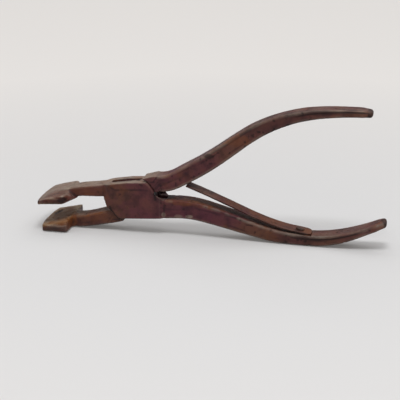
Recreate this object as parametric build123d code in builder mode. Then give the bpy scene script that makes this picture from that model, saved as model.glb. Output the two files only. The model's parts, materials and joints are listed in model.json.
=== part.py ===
from build123d import *

import os
from math import cos, radians, sin

os.makedirs("parts", exist_ok=True)

# Hand-forged nippers: two levers crossed in a box joint, two broad jaws and a riveted leaf
# spring. The tool stands on its lower jaw and on the belly of its lower handle, wide open
# against its stop. +X runs towards the handles, +Y across the tool and +Z up. The origin is
# on the surface that the tool stands on, midway between the jaw tips and the handle's end.
# Side outlines are drawn about the pivot: (distance along X, height above the pivot).

# Driving dimensions, in millimetres and degrees
jaw_reach = 56.6  # pivot to the tip of the upper jaw
handle_reach = 145.4  # pivot to the end of the lower handle
pivot_height = 19.7  # pivot above the surface

joint_radius = 14.0  # round ends of the cheeks, about the pivot
joint_gap = 0.25  # between those ends and the shoulders that slide round them
jaw_length = 17.7  # upper jaw, front to back
jaw_stagger = 2.3  # how much nearer the pivot the lower jaw's tip is
upper_face = (-3.8, -2.5)  # upper jaw's face above the pivot, at its tip and at its heel
lower_face = (-15.9, -11.8)  # lower jaw's face
wedge_nose = (0.0, -1.9)  # upper jaw's top: how far behind its tip, and how high
wedge_knee = (7.6, 0.7)
wedge_back = (17.3, 3.0)
sole_length = 16.9  # flat under the lower jaw
box_end = 17.4  # pivot to the thick middle's end at the jaws
box_back = 18.4  # pivot to its end at the handle
box_taper = 2.1  # length over which the thick middle thins to the arm's and handle's width
lobe_gap = 0.12  # between the cheeks' thin lobes and the shoulders that they cover
box_rise = 8.4  # pivot to the top edge of the thick middle, at its jaw end
box_crown = (-3.0, 10.8)  # where that edge turns, above the pivot
box_drop = 9.7  # pivot to its bottom edge, at its handle end
throat_rise = 0.6  # pivot to the top of the throat, at the jaw end
throat_point = (16.0, 2.2)  # where the throat's edge turns, ahead of and below the pivot
box_width = 14.0  # over both cheeks
tongue_width = 4.0
tongue_height = 5.2  # tongue's free corners above and below the pivot
tongue_bend = (2.9, 9.5)  # where its edges turn, so that it lies flush open and closed
tongue_sunk = 0.9  # its edges below the cheeks' edges, by the shoulders
slot_gap = 0.15  # between the tongue and each cheek
stop_reach = 13.5  # pivot to each end wall of the slot
stop_gap = 0.05  # between those walls and the tongue's flats, with the tool open
corner_angle = 56.0  # where a cheek's round end meets its straight edge
shoulder_angle = 67.5  # where a shoulder's inner edge ends, beyond that corner
shoulder_rise = 2.1  # shoulder's low edge beyond its inner edge
shoulder_height = 6.4  # shoulder's high corner beyond its inner edge
shoulder_root = 2.6  # shoulder's end by its arm or handle beyond its inner edge
crotch_angle = 7.0  # where the handle-side round end stops, above the crotch
throat_angle = 197.0  # where the jaw-side round end starts, below the throat
joint_edge = 0.4  # worn edges of the cheeks and shoulders

rivet_radius = 3.5
rivet_clearance = 0.05  # between the rivet and the tongue's hole
rivet_flare = 0.8  # how far each peened end spreads in its countersink
flare_depth = 1.2

arm_width = 11.2
arm_edge = 0.7  # worn long edges of the arms
jaw_width = 32.0
jaw_corner = 2.0  # rounding of the jaws' front corners, seen from above
heel_flare = 5.5  # length over which the upper jaw narrows to its arm
flare_rise = 1.3  # of its underside over that length
jaw_bow = 2.0  # how far the middle of a jaw's front edge stands out beyond its ends
bit_thickness = 1.5  # hard steel facing on each jaw
tip_wear = 0.6  # how far each tip's edge has worn back

handle_round = 0.125  # rounding of the handles' sections, as a part of their width
handle_end = 1.3  # rounding of the handles' ends
leaf_width = 9.8  # at its fixed end
leaf_end_width = 8.4  # at its free end
leaf_thickness = 1.0
leaf_slope = -9.0  # of the seat under the leaf's fixed end
leaf_rise = 19.0  # slope of its free end
leaf_seat = (0.665 * handle_reach, -12.7)  # rivet's axis on that seat
leaf_tail = 6.8  # leaf beyond the rivet
leaf_bend = (0.43 * handle_reach, -2.0)  # on the leaf, between its seat and its free end
leaf_corner = 3.2  # rounding of the tail's corners, seen from above
seat_gap = 0.3  # beyond the leaf's tail
leaf_base = 4.0  # leaf on the seat, on the other side of the rivet
leaf_gap = 0.15  # between the leaf's free end and the handle that it presses
leaf_rivet_radius = 1.6
leaf_rivet_clearance = 0.05
leaf_head_radius = 2.5
leaf_head_height = 1.2
leaf_head_round = 0.9

# Places that follow from them
pivot_x = (jaw_reach - handle_reach) / 2
side = Plane(origin=(pivot_x, 0, pivot_height), x_dir=(1, 0, 0), z_dir=(0, -1, 0))
sole = -pivot_height
shoulder_radius = joint_radius + joint_gap
tongue_reach = stop_reach - stop_gap
tongue_root = shoulder_radius + 2  # inside the shoulders
slot_reach = box_back + 1  # past the cheeks all round


def polar(radius, angle):
    """Side-view point at a distance and an angle from the pivot."""
    return (radius * cos(radians(angle)), radius * sin(radians(angle)))


def place(x, z):
    """Side-view point as a point of the model, on its middle plane."""
    return side.from_local_coords(Vector(x, z))


def raised(point, rise):
    return (point[0], point[1] + rise)


# Handles, from root to end: centre of each section (x, z), its height and its width
upper_stations = [
    (*polar(shoulder_radius + 3.8, 37), 9.6, 11.0),
    (28.5, 15.6, 10.3, 11.0),
    (41.0, 23.2, 10.0, 11.0),
    (54.8, 33.2, 9.4, 11.0),
    (68.3, 43.2, 8.4, 11.1),
    (81.6, 50.3, 7.1, 11.4),
    (94.7, 54.7, 6.0, 11.8),
    (107.8, 57.0, 5.0, 12.0),
    (120.8, 57.9, 4.2, 11.9),
    (134.0, 57.6, 3.7, 10.6),
]
lower_stations = [
    (box_back - 3.4, -3.9, 11.4, 11.0),
    (0.186 * handle_reach, -3.8, 11.3, 11.0),
    (0.282 * handle_reach, -5.1, 10.7, 11.0),
    (0.365 * handle_reach, -8.0, 10.0, 11.0),
    (0.461 * handle_reach, -11.7, 8.7, 11.2),
    (0.554 * handle_reach, -15.0, 7.7, 11.5),
    (0.626 * handle_reach, -16.2, 7.0, 11.8),
    (0.681 * handle_reach, -16.5, 6.4, 12.0),
    (0.743 * handle_reach, -16.3, 6.1, 12.0),
    (0.812 * handle_reach, -14.6, 5.8, 12.0),
    (0.88 * handle_reach, -11.3, 4.8, 11.9),
    (0.942 * handle_reach, -7.4, 3.9, 11.5),
    (0.997 * handle_reach, -3.6, 3.7, 10.6),
]


def sections(stations):
    """Planes square to the smooth line through the stations, each with its section's size."""
    line = Spline([place(x, z) for x, z, height, width in stations])
    for x, z, height, width in stations:
        centre = place(x, z)
        yield Plane(centre, x_dir=(0, 1, 0), z_dir=line.tangent_at(centre)), height, width


def jaw_plan(tip_x, heel_x):
    """Jaw seen from above: bowed front with rounded corners, straight sides, narrowing back."""
    tip, heel = pivot_x + tip_x, pivot_x + heel_x
    half = jaw_width / 2
    with BuildSketch(Plane.XY) as plan:
        with BuildLine():
            front = ThreePointArc((tip + jaw_bow, -half), (tip, 0), (tip + jaw_bow, half))
            Polyline(
                front @ 1, (heel, half), (heel + heel_flare, arm_width / 2),
                (heel + heel_flare, -arm_width / 2), (heel, -half), front @ 0,
            )
        make_face()
        fillet(plan.vertices().group_by(Axis.X)[0], jaw_corner)
    return plan.sketch


# Upper jaw: a block with a hard facing on its underside
upper_tip = (tip_wear - jaw_reach, upper_face[0])
upper_heel = (jaw_length - jaw_reach, upper_face[1])
upper_weld = [(tip_wear / 2 - jaw_reach, upper_face[0] + bit_thickness), raised(upper_heel, bit_thickness)]
upper_flare = (upper_heel[0] + heel_flare, upper_heel[1] + flare_rise)
upper_top = [(back - jaw_reach, height) for back, height in (wedge_back, wedge_knee, wedge_nose)]
upper_plan = jaw_plan(-jaw_reach, upper_heel[0])

with BuildPart() as upper_block:
    with BuildSketch(side):
        Polygon(*upper_weld, upper_heel, upper_flare, *upper_top, align=None)
    extrude(amount=jaw_width / 2, both=True)
    extrude(upper_plan, amount=3 * pivot_height, mode=Mode.INTERSECT)

with BuildPart() as upper_jaw_bit:
    with BuildSketch(side):
        Polygon(upper_tip, upper_heel, *reversed(upper_weld), align=None)
    extrude(amount=jaw_width / 2, both=True)
    extrude(upper_plan, amount=3 * pivot_height, mode=Mode.INTERSECT)
upper_jaw_bit.part.label = "upper_jaw_bit"
export_step(upper_jaw_bit.part, "parts/upper_jaw_bit.step")

# Lower jaw: the same, facing upwards, with the flat sole that the tool stands on
lower_reach = jaw_reach - jaw_stagger
lower_tip = (tip_wear / 2 - lower_reach, lower_face[0])
lower_heel = (lower_tip[0] + jaw_length - tip_wear, lower_face[1])
lower_weld = [(-lower_reach, lower_face[0] - bit_thickness), raised(lower_heel, -bit_thickness)]
lower_sole = [(lower_heel[0], sole), (lower_heel[0] - sole_length, sole)]
lower_plan = jaw_plan(-lower_reach, lower_heel[0])

with BuildPart() as lower_block:
    with BuildSketch(side):
        Polygon(*lower_weld, *lower_sole, align=None)
    extrude(amount=jaw_width / 2, both=True)
    extrude(lower_plan, amount=3 * pivot_height, mode=Mode.INTERSECT)

with BuildPart() as lower_jaw_bit:
    with BuildSketch(side):
        Polygon(lower_tip, lower_heel, *reversed(lower_weld), align=None)
    extrude(amount=jaw_width / 2, both=True)
    extrude(lower_plan, amount=3 * pivot_height, mode=Mode.INTERSECT)
lower_jaw_bit.part.label = "lower_jaw_bit"
export_step(lower_jaw_bit.part, "parts/lower_jaw_bit.step")

# Arms: the upper one runs over its block, the lower one behind and under its own
upper_root = [(-26.6, 6.6), (1.4 - box_end, box_rise + 0.2)]
upper_crown = [(10.1 - jaw_reach, 1.3), (14.6 - jaw_reach, 3.5), (19.6 - jaw_reach, 4.9)]
upper_belly = [(1.4 - box_end, 1.1), (-24.0, 0.3), (upper_heel[0] + 8.4, 0), raised(upper_heel, 0.2)]

with BuildPart() as upper_arm:
    with BuildSketch(side):
        with BuildLine():
            top = Spline(*upper_crown, *upper_root)
            under = Spline(*upper_belly)
            Polyline(top @ 1, under @ 0)
            Polyline(under @ 1, upper_weld[1], (15.6 - jaw_reach, 0.2), (10.1 - jaw_reach, -0.8), top @ 0)
        make_face()
    extrude(amount=arm_width / 2, both=True)
    chamfer(upper_arm.faces().filter_by(Axis.Y).edges().filter_by(GeomType.BSPLINE), arm_edge)

with BuildPart() as lower_arm:
    with BuildSketch(side):
        with BuildLine():
            top = Spline(
                (lower_heel[0] + 0.1, lower_heel[1] - 0.5), (lower_heel[0] + 5.9, -12.0),
                (-18.5, -8.5), (-9.0, -6.2),
            )
            under = Spline(
                (-6.0, -13.3), (-16.0, -16.1), (lower_heel[0] + 9.9, sole + 1.3),
                (lower_heel[0] - 2.0, sole + 0.2),
            )
            Polyline(top @ 1, under @ 0)
            Polyline(
                under @ 1, (lower_heel[0] - 2.0, sole + 3.0),
                (lower_heel[0] + 0.1, sole + 4.0), top @ 0,
            )
        make_face()
    extrude(amount=arm_width / 2, both=True)
    chamfer(lower_arm.faces().filter_by(Axis.Y).edges().filter_by(GeomType.BSPLINE), arm_edge)

# Handles: flat straps that thin towards their rounded ends
with BuildPart() as upper_handle:
    for plane, height, width in sections(upper_stations):
        with BuildSketch(plane):
            RectangleRounded(width, height, handle_round * width)
    loft()
    fillet(upper_handle.faces().sort_by(Axis.X)[-1].edges(), handle_end)

with BuildPart() as lower_handle:
    for plane, height, width in sections(lower_stations):
        with BuildSketch(plane):
            RectangleRounded(width, height, handle_round * width)
    loft()
    fillet(lower_handle.faces().sort_by(Axis.X)[-1].edges(), handle_end)
    split(bisect_by=Plane.XY, keep=Keep.TOP)

# Box joint: two cheeks with round ends, and between them the slot for the tongue
throat = [(-box_end, throat_rise), (-throat_point[0], -throat_point[1])]

with BuildPart() as cheeks:
    with BuildSketch(side):
        with BuildLine():
            jaw_side = CenterArc(
                (0, 0), joint_radius, throat_angle, 180 + corner_angle - throat_angle
            )
            handle_side = CenterArc(
                (0, 0), joint_radius, crotch_angle, corner_angle - crotch_angle
            )
            crotch = (box_back, (handle_side @ 0).Y)
            Polyline(jaw_side @ 1, (box_back, -box_drop), crotch, handle_side @ 0)
            Polyline(handle_side @ 1, box_crown, (-box_end, box_rise), *throat, jaw_side @ 0)
        make_face()
    extrude(amount=box_width / 2, both=True)
    chamfer(cheeks.faces().filter_by(Axis.Y).edges(), joint_edge)

# Lobes: the cheeks' outer skin, which overhangs the narrower shoulders at throat and crotch
lobe_inside = arm_width / 2 + lobe_gap
jaw_lobe = [(0.8 - box_end, throat_rise), (1.1 - box_end, -1.8), (2.0 - box_end, -4.7), (-11.0, -8.6)]
handle_lobe = [(box_back - 0.4, 1.2), (box_back - 1.2, 2.4), (box_back - 4.8, 4.4), (11.0, 8.3)]

with BuildPart() as lobes:
    for outline in (jaw_lobe, handle_lobe):
        with BuildSketch(side.offset(-box_width / 2)):
            Polygon(*outline, (0, 0), align=None)
        extrude(amount=box_width)
    with BuildSketch(side.offset(-lobe_inside)):
        Rectangle(4 * box_end, 4 * box_end)
    extrude(amount=2 * lobe_inside, mode=Mode.SUBTRACT)

with BuildPart() as taper:
    for end, floor in ((box_back, -pivot_height), (-box_end, throat_rise)):
        with BuildSketch(Plane.XY.offset(pivot_height + floor)):
            with Locations((pivot_x + end, 0)):
                for flank in (-1, 1):
                    Polygon(
                        (-box_taper, flank * box_width / 2),
                        (0, flank * arm_width / 2),
                        (box_taper, flank * box_width / 2),
                        align=None,
                    )
        extrude(amount=3 * pivot_height)

with BuildPart() as slot:
    with BuildSketch(side):
        Polygon(
            (-stop_reach, slot_reach),
            (-stop_reach, 0),
            (-slot_reach, 0),
            (-slot_reach, -slot_reach),
            (stop_reach, -slot_reach),
            (stop_reach, 0),
            (slot_reach, 0),
            (slot_reach, slot_reach),
            align=None,
        )
    extrude(amount=tongue_width / 2 + slot_gap, both=True)

# Shoulders: the thick parts of the through lever that slide round the cheeks' ends
with BuildPart() as jaw_shoulder:
    with BuildSketch(side):
        with BuildLine():
            ring = CenterArc((0, 0), shoulder_radius, 210, shoulder_angle - 30)
            low = polar(shoulder_radius + shoulder_rise, 239.5)
            high = polar(shoulder_radius + shoulder_height, 228.7)
            Polyline(ring @ 1, low, high, polar(shoulder_radius + shoulder_root, 206.6), ring @ 0)
        make_face()
    extrude(amount=arm_width / 2, both=True)
    chamfer(jaw_shoulder.faces().filter_by(Axis.Y).edges(), joint_edge)

with BuildPart() as handle_shoulder:
    with BuildSketch(side):
        with BuildLine():
            ring = CenterArc((0, 0), shoulder_radius, 23, shoulder_angle - 23)
            low = polar(shoulder_radius + shoulder_rise, 59.6)
            high = polar(shoulder_radius + shoulder_height, 49.3)
            Polyline(ring @ 1, low, high, polar(shoulder_radius + shoulder_root, 21.7), ring @ 0)
        make_face()
    extrude(amount=arm_width / 2, both=True)
    chamfer(handle_shoulder.faces().filter_by(Axis.Y).edges(), joint_edge)

with BuildPart() as tongue:
    with BuildSketch(side):
        with BuildLine():
            jaw_side = CenterArc((0, 0), tongue_reach, 180, 25)
            handle_side = CenterArc((0, 0), tongue_reach, 0, 22)
            Polyline(
                jaw_side @ 1, polar(tongue_root, 209.5), polar(tongue_root, 236),
                polar(joint_radius - tongue_sunk, 240.5), (tongue_bend[0], -tongue_bend[1]),
                (tongue_reach, -tongue_height), handle_side @ 0,
            )
            Polyline(
                handle_side @ 1, polar(tongue_root, 25), polar(tongue_root, 56),
                polar(joint_radius - tongue_sunk, 60), (-tongue_bend[0], tongue_bend[1]),
                (-tongue_reach, tongue_height), jaw_side @ 0,
            )
        make_face()
    extrude(amount=tongue_width / 2, both=True)

# Pivot rivet, its ends spread into the cheeks and filed flush
pivot_axis = Axis(place(0, 0), (0, 1, 0))

with BuildPart() as pivot_rivet:
    with BuildSketch(Plane(place(0, 0), x_dir=(1, 0, 0), z_dir=(0, 0, 1))):
        Polygon(
            (0, -box_width / 2),
            (rivet_radius + rivet_flare, -box_width / 2),
            (rivet_radius, flare_depth - box_width / 2),
            (rivet_radius, box_width / 2 - flare_depth),
            (rivet_radius + rivet_flare, box_width / 2),
            (0, box_width / 2),
            align=None,
        )
    revolve(axis=pivot_axis)
pivot_rivet.part.label = "pivot_rivet"
export_step(pivot_rivet.part, "parts/pivot_rivet.step")

# Return spring: a flat leaf seated on the lower handle, pressing up under the upper one
seat_dir = Vector(cos(radians(leaf_slope)), 0, sin(radians(leaf_slope)))
seat = Plane(place(*leaf_seat), x_dir=seat_dir, z_dir=seat_dir.cross(Vector(0, 1, 0)))

press_plane, press_height, _ = list(sections(upper_stations))[1]
press_drop = press_height / 2 + leaf_gap + leaf_thickness / 2
free_end = press_plane.origin - press_plane.y_dir * press_drop
free_run = Vector(-cos(radians(leaf_rise)), 0, sin(radians(leaf_rise)))

with BuildPart() as return_spring:
    with BuildLine():
        tail = seat.from_local_coords(Vector(leaf_tail, 0, leaf_thickness / 2))
        base = Line(tail, tail - seat_dir * (leaf_tail + leaf_base))
        Spline(base @ 1, place(*leaf_bend), free_end, tangents=(base % 1, free_run))
    with BuildSketch(Plane(tail, x_dir=(0, 1, 0), z_dir=seat_dir)):
        Rectangle(leaf_width, leaf_thickness)
    sweep()
    with BuildSketch(Plane.XY) as leaf_plan:
        tail_x, end_x = tail.X, free_end.X - leaf_thickness
        Polygon(
            (tail_x, -leaf_width / 2),
            (tail_x, leaf_width / 2),
            (end_x, leaf_end_width / 2),
            (end_x, -leaf_end_width / 2),
            align=None,
        )
        fillet(leaf_plan.vertices().group_by(Axis.X)[-1], leaf_corner)
    extrude(amount=3 * pivot_height, mode=Mode.INTERSECT)
    with Locations(seat):
        Cylinder(
            leaf_rivet_radius + leaf_rivet_clearance, 4 * leaf_thickness, mode=Mode.SUBTRACT
        )
return_spring.part.label = "return_spring"
export_step(return_spring.part, "parts/return_spring.step")

# Spring rivet: domed over the leaf, filed flush under the belly of the handle
with BuildPart() as spring_rivet:
    with BuildSketch(seat.offset(leaf_thickness)):
        Circle(leaf_head_radius)
    extrude(amount=leaf_head_height)
    fillet(spring_rivet.edges().sort_by(Axis(seat.origin, seat.z_dir))[-1], leaf_head_round)
    with BuildSketch(seat.offset(leaf_thickness)):
        Circle(leaf_rivet_radius)
    extrude(amount=-pivot_height)
    split(bisect_by=Plane.XY, keep=Keep.TOP)
spring_rivet.part.label = "spring_rivet"
export_step(spring_rivet.part, "parts/spring_rivet.step")

# Box lever: upper jaw, cheeks and lower handle
with BuildPart() as box_lever:
    add(upper_block.part)
    add(upper_arm.part)
    add(cheeks.part)
    add(lobes.part)
    add(taper.part, mode=Mode.SUBTRACT)
    add(lower_handle.part)
    add(slot.part, mode=Mode.SUBTRACT)
    add(pivot_rivet.part, mode=Mode.SUBTRACT)
    with BuildSketch(seat):
        with Locations((leaf_tail + seat_gap, 0)):
            Rectangle(
                leaf_tail + seat_gap + 2 * leaf_base, 2 * leaf_width, align=(Align.MAX, Align.CENTER)
            )
    extrude(amount=leaf_width, mode=Mode.SUBTRACT)
    add(spring_rivet.part, mode=Mode.SUBTRACT)
box_lever.part.label = "box_lever"
export_step(box_lever.part, "parts/box_lever.step")

# Through lever: lower jaw, tongue and upper handle
with BuildPart() as through_lever:
    add(lower_block.part)
    add(lower_arm.part)
    add(jaw_shoulder.part)
    add(handle_shoulder.part)
    add(upper_handle.part)
    with Locations(Plane(place(0, 0), z_dir=(0, 1, 0))):
        Cylinder(shoulder_radius, 2 * box_width, mode=Mode.SUBTRACT)
    add(tongue.part)
    with Locations(Plane(place(0, 0), z_dir=(0, 1, 0))):
        Cylinder(rivet_radius + rivet_clearance, 2 * box_width, mode=Mode.SUBTRACT)
through_lever.part.label = "through_lever"
export_step(through_lever.part, "parts/through_lever.step")
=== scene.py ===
import json
import math

import bpy
import numpy as np
from mathutils import Matrix, Vector
from mathutils.bvhtree import BVHTree


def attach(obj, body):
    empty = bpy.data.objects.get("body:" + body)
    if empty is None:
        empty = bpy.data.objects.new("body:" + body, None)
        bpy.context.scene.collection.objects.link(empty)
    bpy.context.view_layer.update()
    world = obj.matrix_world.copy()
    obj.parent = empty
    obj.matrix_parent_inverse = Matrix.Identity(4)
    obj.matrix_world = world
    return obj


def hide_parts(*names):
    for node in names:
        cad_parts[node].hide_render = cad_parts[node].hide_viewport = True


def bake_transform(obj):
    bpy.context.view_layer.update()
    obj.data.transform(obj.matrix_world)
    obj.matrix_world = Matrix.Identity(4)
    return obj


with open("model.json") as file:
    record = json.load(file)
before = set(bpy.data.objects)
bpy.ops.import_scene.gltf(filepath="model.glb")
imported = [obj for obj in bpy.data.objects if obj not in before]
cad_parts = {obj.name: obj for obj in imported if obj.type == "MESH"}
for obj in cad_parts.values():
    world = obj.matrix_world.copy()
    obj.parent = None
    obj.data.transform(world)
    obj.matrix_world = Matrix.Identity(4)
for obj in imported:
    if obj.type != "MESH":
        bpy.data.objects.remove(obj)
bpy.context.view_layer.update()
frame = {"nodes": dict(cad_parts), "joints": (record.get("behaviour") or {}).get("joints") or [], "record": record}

# Old hand-forged nippers, standing open on pale paper. Lengths are in metres and angles in
# degrees. +X runs towards the handles, +Y across the tool and +Z up.
PIVOT = Vector(frame["joints"][0]["pos_m"])


# ---------------------------------------------------------------- camera
def add_camera(target, azimuth, elevation, roll, distance, lens):
    """A camera that looks at target. Azimuth 0 looks along +Y."""
    a, e, r = (math.radians(v) for v in (azimuth, elevation, roll))
    forward = Vector((-math.sin(a) * math.cos(e), math.cos(a) * math.cos(e), -math.sin(e)))
    right = Vector((math.cos(a), math.sin(a), 0))
    up = right.cross(forward)
    right, up = right * math.cos(r) + up * math.sin(r), up * math.cos(r) - right * math.sin(r)
    place = Vector(target) - forward * distance
    turn = Matrix((right, up, -forward)).transposed().to_4x4()
    data = bpy.data.cameras.new("camera")
    data.lens = lens
    data.sensor_width = 36
    data.clip_start = 0.01
    cam = bpy.data.objects.new("camera", data)
    cam.matrix_world = Matrix.Translation(place) @ turn
    bpy.context.scene.collection.objects.link(cam)
    bpy.context.scene.camera = cam


add_camera(
    target=(-0.0058, 0, 0.02096), azimuth=11.71, elevation=19.21, roll=0.32, distance=0.5752, lens=90)


# ---------------------------------------------------------------- material helpers
def new_material(name):
    mat = bpy.data.materials.new(name)
    mat.use_nodes = True
    tree = mat.node_tree
    shader = tree.nodes["Principled BSDF"]
    return mat, tree, shader


def node(tree, kind, **values):
    """A new node. A value is a setting of it, or else an input whose spaces are written as _."""
    made = tree.nodes.new(kind)
    for key, value in values.items():
        if hasattr(made, key):
            setattr(made, key, value)
        else:
            made.inputs[key.replace("_", " ")].default_value = value
    return made


def feed(tree, value, socket):
    """Links an output to the socket, or sets a plain value on it."""
    if hasattr(value, "is_linked"):
        tree.links.new(value, socket)
    else:
        socket.default_value = value


def rgb(r, g, b):
    """sRGB 0..255 to linear."""
    return tuple((c / 255 / 12.92 if c / 255 <= 0.04045 else ((c / 255 + 0.055) / 1.055) ** 2.4)
                 for c in (r, g, b)) + (1.0,)


def blotches(tree, coords, scale, detail, low, high):
    """0..1 mask of soft blotches: noise stretched so that low gives 0 and high gives 1."""
    noise = node(tree, "ShaderNodeTexNoise", Scale=scale, Detail=detail, Roughness=0.6)
    tree.links.new(coords, noise.inputs["Vector"])
    ramp = node(tree, "ShaderNodeMapRange", From_Min=low, From_Max=high)
    tree.links.new(noise.outputs["Fac"], ramp.inputs["Value"])
    return ramp.outputs["Result"]


def mix(tree, fac, a, b, blend="MIX"):
    """Colour a with b laid over it, as much as fac says."""
    made = node(tree, "ShaderNodeMix", data_type="RGBA", blend_type=blend)
    feed(tree, fac, made.inputs[0])
    feed(tree, a, made.inputs[6])
    feed(tree, b, made.inputs[7])
    return made.outputs[2]


def attribute(tree, name):
    """A value that the mesh carries at its points."""
    return node(tree, "ShaderNodeAttribute", attribute_name=name).outputs["Fac"]


def times(tree, a, b):
    """The product, kept within 0 and 1."""
    made = node(tree, "ShaderNodeMath", operation="MULTIPLY", use_clamp=True)
    feed(tree, a, made.inputs[0])
    feed(tree, b, made.inputs[1])
    return made.outputs[0]


def between(tree, value, low, high):
    """A 0..1 value carried over to low..high."""
    made = node(tree, "ShaderNodeMapRange", To_Min=low, To_Max=high)
    tree.links.new(value, made.inputs["Value"])
    return made.outputs["Result"]


# Patterns of the patina: the noise's scale and detail, and the levels that give none and full
FINE_GRAIN = (620, 5, 0.25, 0.75)
BROWN_PATCHES = (48, 5, 0.38, 0.66)
DARK_PATCHES = (150, 6, 0.44, 0.7)
WEAR_AND_HIGHLIGHT_PATCHES = (210, 6, 0.3, 0.7)
RUST_STAINS = (85, 8, 0.56, 0.74)
RUST_CRUMBS = (260, 6, 0.3, 0.65)
PLUM_TINT = (0.98, 0.76, 1.2, 1.0)
GRIME_SHADE = 0.3  # of the dark colour
ROUGHNESS = (0.34, 0.58)


def forged_look(name, base, dark, brown, pale, orange):
    """Old forged steel. A brown patina, darker scale, pale rubbed edges, a painted sheen on tops and painted
    highlights, orange rust, and black grime and painted shade.
    """
    mat, tree, shader = new_material(name)
    coords = node(tree, "ShaderNodeTexCoord").outputs["Object"]
    fine = blotches(tree, coords, *FINE_GRAIN)
    colour = mix(tree, blotches(tree, coords, *BROWN_PATCHES), base, brown)
    colour = mix(tree, times(tree, blotches(tree, coords, *DARK_PATCHES), 0.75), colour, dark)
    colour = mix(tree, times(tree, attribute(tree, "streak"), 0.75), colour, dark)
    colour = mix(tree, attribute(tree, "plum"), colour, PLUM_TINT, "MULTIPLY")
    patchy = between(tree, blotches(tree, coords, *WEAR_AND_HIGHLIGHT_PATCHES), 0.45, 1)
    # Pale over rubbed edges, and also as a painted sheen on tops and painted highlights where the marks put it
    colour = mix(tree, times(tree, attribute(tree, "wear_and_highlight"), patchy), colour, pale)
    clear_of_plum = between(tree, attribute(tree, "plum"), 0.75, 0.15)
    stains = times(tree, blotches(tree, coords, *RUST_STAINS), clear_of_plum)
    colour = mix(tree, stains, colour, orange)
    crumbly = between(tree, blotches(tree, coords, *RUST_CRUMBS), 0.5, 1)
    colour = mix(tree, times(tree, attribute(tree, "rust"), crumbly), colour, orange)
    black = tuple(c * GRIME_SHADE for c in dark[:3]) + (1,)
    # Darkened towards black by grime and pits, and by painted shade under things, on the spring's near sides and
    # in shaded corners
    colour = mix(tree, times(tree, attribute(tree, "grime_and_shade"), 0.85), colour, black)
    tree.links.new(colour, shader.inputs["Base Color"])
    shader.inputs["Metallic"].default_value = 0.0
    shader.inputs["Specular IOR Level"].default_value = 0.2
    tree.links.new(between(tree, fine, *ROUGHNESS), shader.inputs["Roughness"])
    bump = node(tree, "ShaderNodeBump", Strength=0.4, Distance=0.00025)
    tree.links.new(fine, bump.inputs["Height"])
    tree.links.new(bump.outputs["Normal"], shader.inputs["Normal"])
    return mat
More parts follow.
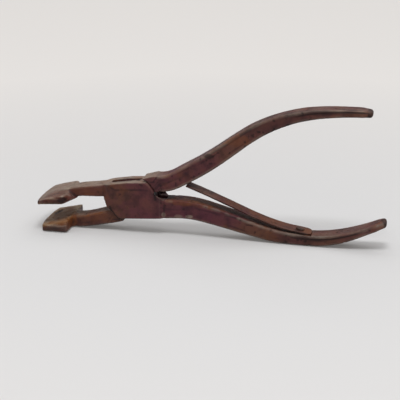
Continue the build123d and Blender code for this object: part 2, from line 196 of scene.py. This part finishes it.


# Marks on the old surface: kind, place, reach along each axis and strength. One of negative
# strength takes away what is there by then, so their order counts.
# Some of these marks are painted highlights and painted shade, each noted where it stands
MARKS = (
    ("plum", (-0.0300, 0.0000, 0.0190), (0.0220, 0.0200, 0.0170), 0.8),
    ("plum", (-0.0080, 0.0000, 0.0400), (0.0180, 0.0200, 0.0130), 0.8),
    ("plum", (0.0020, 0.0000, 0.0160), (0.0240, 0.0200, 0.0090), 0.9),
    ("rust", (-0.0860, -0.0060, 0.0068), (0.0070, 0.0100, 0.0040), 0.9),
    ("rust", (-0.0812, -0.0080, 0.0040), (0.0030, 0.0070, 0.0060), 0.8),
    # Painted highlights on the lower head's near back corner and on its rim, and painted shade in the shadowed
    # corner behind its far side
    ("wear_and_highlight", (-0.0822, -0.0155, 0.0062), (0.0015, 0.0020, 0.0015), 0.8),
    ("wear_and_highlight", (-0.0965, 0.0040, 0.0045), (0.0030, 0.0100, 0.0030), 0.4),
    ("grime_and_shade", (-0.0820, 0.0140, 0.0070), (0.0030, 0.0030, 0.0040), 0.5),
    ("rust", (-0.0155, -0.0045, 0.0210), (0.0090, 0.0060, 0.0025), 0.6),
    # Painted highlights: light spots on the near face just past the box's end
    ("wear_and_highlight", (-0.0261, -0.0056, 0.0121), (0.0012, 0.0015, 0.0015), 0.7),
    ("wear_and_highlight", (-0.0172, -0.0055, 0.0119), (0.0022, 0.0020, 0.0012), 0.4),
    ("wear_and_highlight", (-0.0110, -0.0055, 0.0122), (0.0020, 0.0020, 0.0010), 0.6),
    ("rust", (-0.0700, -0.0056, 0.0225), (0.0110, 0.0040, 0.0040), 0.4),
    ("rust", (-0.0700, -0.0056, 0.0095), (0.0120, 0.0040, 0.0050), 0.4),
    ("wear_and_highlight", (-0.0100, 0.0000, 0.0215), (0.0140, 0.0080, 0.0040), -0.8),
    ("rust", (-0.0040, -0.0020, 0.0200), (0.0090, 0.0060, 0.0025), 0.4),
    ("wear_and_highlight", (-0.0890, -0.0100, 0.0200), (0.0080, 0.0080, 0.0040), -0.5),
    ("rust", (-0.0890, -0.0100, 0.0200), (0.0080, 0.0080, 0.0040), 0.25),
    ("rust", (0.0850, -0.0060, 0.0750), (0.0120, 0.0030, 0.0050), 0.3),
    ("rust", (-0.0920, 0.0040, 0.0060), (0.0080, 0.0120, 0.0040), 0.3),
    ("wear_and_highlight", (-0.0900, -0.0150, 0.0040), (0.0080, 0.0040, 0.0040), 0.12),
    ("grime_and_shade", (-0.0900, -0.0150, 0.0040), (0.0080, 0.0040, 0.0040), -0.5),
    ("grime_and_shade", (-0.0930, 0.0060, 0.0070), (0.0080, 0.0120, 0.0050), -0.5),
    ("grime_and_shade", (0.0000, -0.0054, 0.0490), (0.0028, 0.0030, 0.0015), 0.8),
    ("rust", (0.0160, -0.0055, 0.0590), (0.0080, 0.0030, 0.0035), 0.5),
    ("grime_and_shade", (0.0890, 0.0000, 0.0765), (0.0034, 0.0080, 0.0050), 0.8),
    ("grime_and_shade", (0.1005, 0.0000, 0.0165), (0.0034, 0.0080, 0.0050), 0.8),
    ("rust", (0.0567, -0.0008, 0.0073), (0.0028, 0.0040, 0.0020), 0.8),
    ("grime_and_shade", (0.0515, -0.0019, 0.0091), (0.0020, 0.0020, 0.0020), 0.6),
    ("rust", (-0.0920, 0.0000, 0.0060), (0.0090, 0.0130, 0.0040), 0.35),
    ("wear_and_highlight", (-0.0730, 0.0000, 0.0125), (0.0090, 0.0070, 0.0040), -0.6),
    ("rust", (-0.0720, 0.0000, 0.0110), (0.0110, 0.0070, 0.0050), 0.6),
    # Painted shade on the upper head's near facet and its hollow, a painted highlight along its top edge, painted
    # shade on the lower head's near facet and a painted highlight along its front
    ("grime_and_shade", (-0.0834, -0.0156, 0.0200), (0.0030, 0.0030, 0.0015), 0.8),
    ("grime_and_shade", (-0.0900, -0.0159, 0.0186), (0.0090, 0.0020, 0.0018), 0.4),
    ("wear_and_highlight", (-0.0915, -0.0152, 0.0205), (0.0060, 0.0020, 0.0006), 0.5),
    ("grime_and_shade", (-0.0912, -0.0159, 0.0014), (0.0090, 0.0020, 0.0016), 0.5),
    ("wear_and_highlight", (-0.0895, -0.0155, 0.0045), (0.0080, 0.0016, 0.0008), 0.6),
    ("rust", (0.0020, 0.0006, 0.0180), (0.0220, 0.0052, 0.0060), 0.8),
    ("rust", (0.0260, 0.0006, 0.0090), (0.0200, 0.0052, 0.0070), 0.6),
    ("wear_and_highlight", (0.0140, 0.0006, 0.0140), (0.0300, 0.0052, 0.0110), -0.8),
    ("grime_and_shade", (0.0040, 0.0006, 0.0175), (0.0200, 0.0052, 0.0060), 0.3),
    ("grime_and_shade", (0.0400, -0.0055, 0.0710), (0.0200, 0.0060, 0.0080), 0.3),
    # Painted light: the lower head's top, which the upper head shades, gets fewer streaks, more pale and more
    # orange rust
    ("streak", (-0.0920, 0.0020, 0.0055), (0.0110, 0.0180, 0.0050), -0.9),
    ("wear_and_highlight", (-0.0920, 0.0020, 0.0055), (0.0110, 0.0170, 0.0045), 0.7),
    ("rust", (-0.0880, -0.0020, 0.0060), (0.0070, 0.0120, 0.0040), 0.4),
    ("grime_and_shade", (0.0500, -0.0060, 0.0040), (0.0150, 0.0040, 0.0050), 0.2),
    ("wear_and_highlight", (-0.0040, 0.0000, 0.0275), (0.0140, 0.0060, 0.0050), 0.35),
    ("wear_and_highlight", (-0.0985, -0.0130, 0.0055), (0.0055, 0.0070, 0.0040), -0.6),
    ("wear_and_highlight", (-0.0900, -0.0155, 0.0065), (0.0090, 0.0030, 0.0020), -0.35),
    ("rust", (-0.0900, -0.0150, 0.0060), (0.0080, 0.0030, 0.0020), 0.4),
    ("sunk", (-0.0943, 0.0045, 0.0050), (0.0015, 0.0027, 0.0030), 0.8),
    ("grime_and_shade", (-0.0943, 0.0045, 0.0050), (0.0016, 0.0028, 0.0030), 0.9),
    ("sunk", (-0.0934, 0.0074, 0.0050), (0.0013, 0.0017, 0.0030), 0.6),
    ("grime_and_shade", (-0.0934, 0.0074, 0.0050), (0.0015, 0.0019, 0.0030), 0.8),
    ("grime_and_shade", (-0.0995, -0.0150, 0.0180), (0.0015, 0.0020, 0.0020), 0.7),
    ("grime_and_shade", (-0.0425, 0.0000, 0.0300), (0.0016, 0.0025, 0.0015), 1.0),
)


# ---------------------------------------------------------------- forged surfaces
# Zones over which a quality comes in, as distances at which it is none and full
OFF_JOINT = (0.0155, 0.021)  # from the pivot: clear of the box joint's running faces
ON_HANDLE = (0.008, 0.02)  # ahead of the pivot
ON_JAW = (0.032, 0.037)  # behind the pivot
OFF_EDGE = (0.002, 0.005)  # behind the jaws' cutting edge
AT_END = (-0.006, -0.003)  # from the handle's end
IN_GROOVE = ((0.088, 0.098), (0.128, 0.134))  # ahead of the pivot, in and out again

STEP_PLACE = -0.0163  # of the box's step down to the upper arm, from the pivot
STEP_REACH = 0.0022
STEP_HEIGHT = (0.019, 0.021)  # the zone above which it counts as that step
STEP_ROUNDS = 16  # rounds of blunting that the step gets

SEAM_RADIUS = 0.0141  # of the round seams between cheeks and shoulders, about the pivot
SEAM_WIDTH = (0.0003, 0.0009)
SEAM_ARCS = ((196, 237), (6, 57))  # about the pivot
RUSTED_ARC = (24, 58)  # where rust has closed the seam
RUSTED_DEPTH = (0.0135, 0.0139)  # from the pivot, on the box's side of that seam

GROOVE_HEIGHT = 0.0011  # of the groove along each handle's end, above its middle
GROOVE_WIDTH = 0.0006
GROOVE_DEPTH = 0.00025
PIT_DEPTH = 0.0005

# Noises of the surface, as sums of layers: weight, size of the cells and seed
HAMMER_MARKS = ((0.6, 0.009, 1), (0.4, 0.0045, 2))
ROUGH_SCALE = ((1.0, 0.0016, 3),)
SCATTERED_PITS = ((1.0, 0.0022, 4), (0.35, 0.0009, 5))
STREAKS = ((1.0, 0.0011, 6), (0.6, 0.0026, 7))
TOP_SHEEN_PATCHES = ((0.15, 0.005, 8),)
EDGE_PATCHES = ((1.0, 0.007, 9),)
MARK_OUTLINES = ((0.3, 0.0025, 10),)
STREAK_DRAW = 0.07  # streaks are drawn out to 1 / 0.07 of their width, along X
ROUGH_DEPTH = 0.00003

SMOOTH_IN, SMOOTH_OUT = 0.5, 0.515  # steps of smoothing, of which the second undoes the shrinking
EDGE_CURVE = (0.00001, 0.0001)
HOLLOW_CURVE = (0.00001, 0.00009)


def lattice(points, cell, seed):
    """Smooth noise, -1 to 1, at points, with bumps about one cell across. Each corner of the
    lattice of cells gets its own value from a hash of its place and the seed."""
    p = points / cell + 37.7 * (seed + 1)
    base = np.floor(p).astype(np.int64)
    f = p - base
    f = f * f * f * (f * (f * 6 - 15) + 10)
    total = np.zeros(len(points))
    for dx in (0, 1):
        for dy in (0, 1):
            for dz in (0, 1):
                x, y, z = base[:, 0] + dx, base[:, 1] + dy, base[:, 2] + dz
                h = x * 73856093 ^ y * 19349663 ^ z * 83492791
                h = (h ^ (seed * 2654435761)) & 0xFFFFFFFF
                h = ((h ^ (h >> 15)) * 2246822519) & 0xFFFFFFFF
                h = ((h ^ (h >> 13)) * 3266489917) & 0xFFFFFFFF
                value = ((h ^ (h >> 16)) & 0xFFFF) / 32767.5 - 1
                weight = (f[:, 0] if dx else 1 - f[:, 0]) * (f[:, 1] if dy else 1 - f[:, 1])
                total += value * weight * (f[:, 2] if dz else 1 - f[:, 2])
    return total


def noise(points, layers):
    """A sum of smooth noises at the points."""
    return sum(weight * lattice(points, cell, seed) for weight, cell, seed in layers)


def ease(value, low, high):
    """A smooth step from 0 at low to 1 at high."""
    t = np.clip((value - low) / (high - low), 0, 1)
    return t * t * (3 - 2 * t)


def middle_line(co):
    """Height above the middle of the piece, taken in slices about 4 mm long."""
    low, high = co[:, 0].min(), co[:, 0].max()
    cells = max(8, int((high - low) / 0.004))
    spot = np.clip(((co[:, 0] - low) / (high - low) * cells).astype(int), 0, cells - 1)
    mean = np.bincount(spot, co[:, 2], cells) / np.maximum(np.bincount(spot, minlength=cells), 1)
    middle = low + (np.arange(cells) + 0.5) * (high - low) / cells
    return co[:, 2] - np.interp(co[:, 0], middle, mean)


def closed_mesh(names, voxel):
    """The CAD nodes as one closed mesh of small quads: its points and faces."""
    joined = bpy.data.meshes.new("joined")
    points, faces = [], []
    for name in names:
        mesh = frame["nodes"][name].data
        shift = len(points)
        points += [tuple(v.co) for v in mesh.vertices]
        faces += [tuple(shift + k for k in face.vertices) for face in mesh.polygons]
    joined.from_pydata(points, [], faces)
    made = bpy.data.objects.new("joined", joined)
    bpy.context.scene.collection.objects.link(made)
    weld = made.modifiers.new("weld", "WELD")
    weld.merge_threshold = 1e-6
    remesh = made.modifiers.new("remesh", "REMESH")
    remesh.mode = "VOXEL"
    remesh.voxel_size = voxel
    mesh = bpy.data.meshes.new_from_object(made.evaluated_get(bpy.context.evaluated_depsgraph_get()))
    bpy.data.objects.remove(made)
    co = np.empty(len(mesh.vertices) * 3)
    mesh.vertices.foreach_get("co", co)
    quads = np.empty(len(mesh.loops), dtype=np.int64)
    mesh.loops.foreach_get("vertex_index", quads)
    return co.reshape(-1, 3), quads.reshape(-1, 4)


def quad_mesh(name, co, quads, layers):
    """A smooth-shaded mesh of quads that carries the given values at its points."""
    used, flat = np.unique(quads, return_inverse=True)
    mesh = bpy.data.meshes.new(name)
    mesh.vertices.add(len(used))
    mesh.vertices.foreach_set("co", co[used].ravel())
    mesh.loops.add(quads.size)
    mesh.loops.foreach_set("vertex_index", flat.ravel())
    mesh.polygons.add(len(quads))
    mesh.polygons.foreach_set("loop_start", np.arange(0, quads.size, 4))
    mesh.polygons.foreach_set("use_smooth", [True] * len(quads))
    mesh.update(calc_edges=True)
    for label, values in layers.items():
        layer = mesh.attributes.new(label, "FLOAT", "POINT")
        layer.data.foreach_set("value", values[used].astype(np.float32))
    return mesh


def point_normals(co, quads):
    """Unit normals at the points."""
    cross = np.cross(co[quads[:, 2]] - co[quads[:, 0]], co[quads[:, 3]] - co[quads[:, 1]])
    total = np.zeros_like(co)
    for k in range(4):
        for axis in range(3):
            total[:, axis] += np.bincount(quads[:, k], cross[:, axis], len(co))
    return total / np.maximum(np.linalg.norm(total, axis=1), 1e-12)[:, None]


def owners(co, quads, names):
    """Which node each quad belongs to: the one whose surface lies nearest, and the first node
    wherever none of the others is within 1 mm."""
    centres = co[quads].mean(1)
    owner = np.zeros(len(quads), dtype=int)
    meshes = [frame["nodes"][name].data for name in names]
    trees = [BVHTree.FromPolygons([v.co for v in m.vertices], [p.vertices for p in m.polygons])
             for m in meshes]
    near = np.zeros(len(quads), dtype=bool)
    margin = 0.001
    for mesh in meshes[1:]:
        points = np.array([tuple(v.co) for v in mesh.vertices])
        low, high = points.min(0) - margin, points.max(0) + margin
        near |= ((centres > low) & (centres < high)).all(1)
    for k in np.flatnonzero(near):
        spot = Vector(centres[k])
        gaps = [tree.find_nearest(spot)[3] for tree in trees]
        owner[k] = int(np.argmin(gaps))
    return owner


def blunted(co, quads, reach, rounds, joint_rounds, blunt):
    """The points smoothed as worn forgings are: all over, and further at heads, step and ends.
    The second value is a set of points smoothed further still, to tell edges from hollows by."""
    n = len(co)
    low_x, high_x = co[:, 0].min(), co[:, 0].max()
    a = quads.ravel()
    b = np.roll(quads, -1, axis=1).ravel()
    count = np.bincount(a, minlength=n) + np.bincount(b, minlength=n)

    def averaged(values):
        """Each point's neighbours, averaged."""
        out = np.empty_like(values)
        for k in range(values.shape[1]):
            out[:, k] = np.bincount(a, values[b, k], n) + np.bincount(b, values[a, k], n)
        return out / count[:, None]

    ahead = co[:, 0] - PIVOT.x
    jaw = ease(-ahead, *ON_JAW)
    step = np.exp(-((ahead - STEP_PLACE) / STEP_REACH) ** 2) * ease(co[:, 2], *STEP_HEIGHT)
    handle_end = ease(co[:, 0] - high_x, *AT_END) * ease(ahead, *ON_HANDLE)
    behind_edge = jaw * ease(co[:, 0] - low_x, *OFF_EDGE)
    first_blunt = np.maximum.reduce((jaw, step, handle_end))[:, None]
    more_blunt = np.maximum(behind_edge, handle_end)[:, None]
    off_joint = ease(reach, *OFF_JOINT)[:, None]
    for k in range(rounds):
        strength = 1.0 if k < joint_rounds else off_joint
        co = co + SMOOTH_IN * strength * (averaged(co) - co)
        co = co - SMOOTH_OUT * strength * (averaged(co) - co)
    for k in range(blunt):
        co = co + SMOOTH_IN * (first_blunt if k < STEP_ROUNDS else more_blunt) * (averaged(co) - co)
    soft = co
    for k in range(12):
        soft = soft + SMOOTH_IN * (averaged(soft) - soft)
    return co, soft


def forged(names, voxel=0.00035, rounds=14, joint_rounds=3, blunt=60, hammer=0.00014, pits=0.00014,
           seam_fill=0.0, near_side_shade=0.0):
    """CAD nodes of one body remade as forgings: worn edges, filled corners, hammer marks and pits.
    Marks and pits only sink the surface, and all of it stays within the body's own box."""
    co, quads = closed_mesh(names, voxel)
    corners = co.min(0), co.max(0)
    reach = np.hypot(co[:, 0] - PIVOT.x, co[:, 2] - PIVOT.z)
    angle = np.degrees(np.arctan2(co[:, 2] - PIVOT.z, co[:, 0] - PIVOT.x)) % 360
    handle = ease(co[:, 0] - PIVOT.x, *ON_HANDLE)
    jaw = ease(PIVOT.x - co[:, 0], *ON_JAW)
    free = ease(reach, *OFF_JOINT)
    co, soft = blunted(co, quads, reach, rounds, joint_rounds, blunt)
    normals = point_normals(co, quads)
    curve = ((soft - co) * normals).sum(1)
    wear, hollow = ease(-curve, *EDGE_CURVE), ease(curve, *HOLLOW_CURVE)

    # Hammer marks up to 9 mm across, fine roughness, and scattered pits
    bumps = noise(co, HAMMER_MARKS)
    rough = noise(co, ROUGH_SCALE)
    spots = ease(noise(co, SCATTERED_PITS), 0.6, 1.0)
    sunk = hammer * (0.5 - 0.5 * bumps) + ROUGH_DEPTH * (0.5 - 0.5 * rough) + pits * spots
    sunk *= 0.3 + 0.7 * free

    # Streaks drawn out along the forging, rubbed edges, and a painted sheen on the tops
    along = np.column_stack((co[:, 0] * STREAK_DRAW, co[:, 1], middle_line(co)))
    streak = ease(noise(along, STREAKS), 0.1, 0.9)
    top = ease(normals[:, 2], 0.6, 0.95)
    # Painted sheen: faces turned up are made paler, a little more on the jaws and much less on the handles
    top_sheen = 0.78 + 0.05 * jaw - 0.7 * handle + noise(co, TOP_SHEEN_PATCHES)
    rubbed = 0.1 + 0.3 * free * (1 + noise(co, EDGE_PATCHES)) * (0.5 + 0.5 * jaw + 0.5 * handle)
    wear_and_highlight = np.clip(rubbed * wear + top_sheen * top, 0, 1)

    # Dark seams of the box joint, but for the arc that rust has closed
    in_arcs = np.logical_or.reduce([(angle > low) & (angle < high) for low, high in SEAM_ARCS])
    in_rusted = (angle > RUSTED_ARC[0]) & (angle < RUSTED_ARC[1])
    off_seam = np.abs(reach - SEAM_RADIUS)
    rusted = in_rusted & (off_seam < 0.0012)
    seam = (1 - ease(off_seam, *SEAM_WIDTH)) * in_arcs * (1 - rusted)

    # Groove along the near side of each handle's end
    groove_in, groove_out = (ease(co[:, 0] - PIVOT.x, *zone) for zone in IN_GROOVE)
    in_groove = np.exp(-((middle_line(co) - GROOVE_HEIGHT) / GROOVE_WIDTH) ** 2)
    groove = groove_in * (1 - groove_out) * in_groove * ease(-normals[:, 1], 0.4, 0.8)
    sunk += GROOVE_DEPTH * groove

    # Painted shade: faces turned down are darkened, and on the spring its near-facing sides too
    under_shade = ease(-normals[:, 2], 0.25, 0.9)
    near_side = ease(-normals[:, 1], 0.4, 0.9)
    in_hollows = hollow * (0.35 + 0.65 * free) * (1 - rusted)
    layers = {
        "wear_and_highlight": wear_and_highlight * (1 - seam),
        "grime_and_shade": np.maximum.reduce(
            (in_hollows, seam, 0.7 * spots, groove, 0.45 * under_shade, near_side_shade * near_side)),
        "streak": streak,
        "rust": np.zeros(len(co)),
        "plum": np.zeros(len(co)),
    }
    for kind, place, size, strength in MARKS:
        far = np.linalg.norm((co - np.array(place)) / np.array(size), axis=1)
        mark = strength * ease(1.25 - far + noise(co, MARK_OUTLINES), 0, 0.5)
        if kind == "sunk":
            sunk += PIT_DEPTH * mark
        else:
            layers[kind] = np.clip(layers[kind] + mark, 0, 1)
    co -= normals * sunk[:, None]

    # Rust swells the box's side of the closed seam outwards from the pivot
    swollen = seam_fill * rusted * ease(reach, *RUSTED_DEPTH) * (reach < SEAM_RADIUS + 0.00002)
    co[:, 0] += swollen * np.cos(np.radians(angle))
    co[:, 2] += swollen * np.sin(np.radians(angle))
    co = np.clip(co, *corners)
    owner = owners(co, quads, names)
    pieces = []
    for k, name in enumerate(names):
        mesh = quad_mesh(name + "_forged", co, quads[owner == k], layers)
        made = bpy.data.objects.new(name + "_forged", mesh)
        bpy.context.scene.collection.objects.link(made)
        mesh.materials.append(looks[slot_of[name]])
        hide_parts(name)
        pieces.append(made)
    return pieces


slot_of = {part["node"]: part["material_slot"] for part in frame["record"]["subparts"]}
looks = {
    "forged_steel": forged_look(
        "forged_steel",
        base=rgb(88, 49, 49),
        dark=rgb(44, 24, 26),
        brown=rgb(98, 62, 48),
        pale=rgb(150, 134, 119),
        orange=rgb(116, 66, 34),
    ),
    "hard_facing": forged_look(
        "hard_facing",
        base=rgb(102, 68, 50),
        dark=rgb(56, 38, 28),
        brown=rgb(118, 88, 58),
        # Pale is set light so that the lower head's top, which the upper head shades, comes out lighter: partly
        # painted light
        pale=rgb(196, 172, 144),
        orange=rgb(126, 78, 38),
    ),
    "spring_steel": forged_look(
        "spring_steel",
        base=rgb(82, 42, 36),
        dark=rgb(44, 22, 20),
        brown=rgb(90, 52, 42),
        pale=rgb(140, 108, 92),
        orange=rgb(110, 64, 36),
    ),
    "rivet_steel": forged_look(
        "rivet_steel",
        base=rgb(80, 46, 42),
        dark=rgb(44, 25, 25),
        brown=rgb(90, 56, 44),
        pale=rgb(150, 134, 120),
        orange=rgb(112, 64, 34),
    ),
}
for made in forged(("box_lever", "upper_jaw_bit", "pivot_rivet"), seam_fill=0.00015):
    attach(made, "box_half")
for made in forged(("through_lever", "lower_jaw_bit")):
    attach(made, "through_half")

# The spring and its rivet are smaller and finer work
small = {"voxel": 0.0002, "joint_rounds": 1, "blunt": 0}
for made in forged(("spring_rivet",), **small, rounds=3, hammer=0.00003, pits=0.00004):
    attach(made, "box_half")
# The spring gets painted shade on its near-facing sides
for made in forged(
        ("return_spring",), **small, rounds=4, hammer=0.00004, pits=0.00005, near_side_shade=0.7):
    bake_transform(made)


# ---------------------------------------------------------------- stage and light
def paper_look():
    """Matt paper. The camera sees it evened out, the more so the farther it is from the tool."""
    mat, tree, shader = new_material("paper")
    shader.inputs["Base Color"].default_value = rgb(211, 211, 212)
    shader.inputs["Roughness"].default_value = 0.9
    shader.inputs["Specular IOR Level"].default_value = 0.1
    even = node(tree, "ShaderNodeEmission", Color=rgb(244, 239, 234))
    far = node(tree, "ShaderNodeVectorMath", operation="LENGTH")
    tree.links.new(node(tree, "ShaderNodeTexCoord").outputs["Object"], far.inputs[0])
    share = node(tree, "ShaderNodeMapRange", From_Min=0.1, From_Max=0.45, To_Min=0.12, To_Max=0.6)
    tree.links.new(far.outputs["Value"], share.inputs["Value"])
    camera_ray = node(tree, "ShaderNodeLightPath").outputs["Is Camera Ray"]
    both = node(tree, "ShaderNodeMixShader")
    tree.links.new(times(tree, camera_ray, share.outputs["Result"]), both.inputs[0])
    tree.links.new(shader.outputs[0], both.inputs[1])
    tree.links.new(even.outputs[0], both.inputs[2])
    tree.links.new(both.outputs[0], tree.nodes["Material Output"].inputs["Surface"])
    return mat


def add_paper():
    """Pale paper under the tool, curving up behind it."""
    half_width, front, back, rise, top, steps = 4.0, -6.0, 3.2, 0.9, 2.5, 24
    below = 0.0001  # the tool's sole, so that the two faces don't flicker
    curve = [(back + rise * math.sin(t), rise * (1 - math.cos(t)))
             for t in (math.pi / 2 * k / steps for k in range(steps + 1))]
    rows = [(front, 0.0), *curve, (back + rise, top)]
    verts = [(x, y, z - below) for y, z in rows for x in (-half_width, half_width)]
    faces = [(2 * k, 2 * k + 1, 2 * k + 3, 2 * k + 2) for k in range(len(rows) - 1)]
    mesh = bpy.data.meshes.new("floor")
    mesh.from_pydata(verts, [], faces)
    for face in mesh.polygons:
        face.use_smooth = True
    floor = bpy.data.objects.new("floor", mesh)
    bpy.context.scene.collection.objects.link(floor)
    mesh.materials.append(paper_look())


def add_light(name, place, target, size, power):
    data = bpy.data.lights.new(name, "AREA")
    data.shape = "RECTANGLE"
    data.size, data.size_y = size
    data.energy = power
    light = bpy.data.objects.new(name, data)
    light.location = place
    light.rotation_euler = (Vector(target) - Vector(place)).to_track_quat("-Z", "Y").to_euler()
    bpy.context.scene.collection.objects.link(light)


def add_world():
    """Soft light from all round, and the paper's own tone wherever the camera sees past it."""
    world = bpy.data.worlds.new("world")
    bpy.context.scene.world = world
    world.use_nodes = True
    tree = world.node_tree
    soft = tree.nodes["Background"]
    soft.inputs["Color"].default_value = (1.0, 0.99, 0.98, 1)
    soft.inputs["Strength"].default_value = 0.35
    pale = node(tree, "ShaderNodeBackground", Color=rgb(218, 217, 216), Strength=1.0)
    sky = node(tree, "ShaderNodeMixShader")
    tree.links.new(node(tree, "ShaderNodeLightPath").outputs["Is Camera Ray"], sky.inputs[0])
    tree.links.new(soft.outputs[0], sky.inputs[1])
    tree.links.new(pale.outputs[0], sky.inputs[2])
    tree.links.new(sky.outputs[0], tree.nodes["World Output"].inputs["Surface"])


add_paper()
add_light("key", place=(0.06, -0.3, 0.9), target=(0, 0, 0), size=(0.3, 0.26), power=3.6)
add_light("ceiling", place=(0, 0.9, 2.4), target=(0, 0.9, 0), size=(3.6, 4.2), power=42)
add_world()

bpy.context.scene.view_settings.view_transform = "Standard"
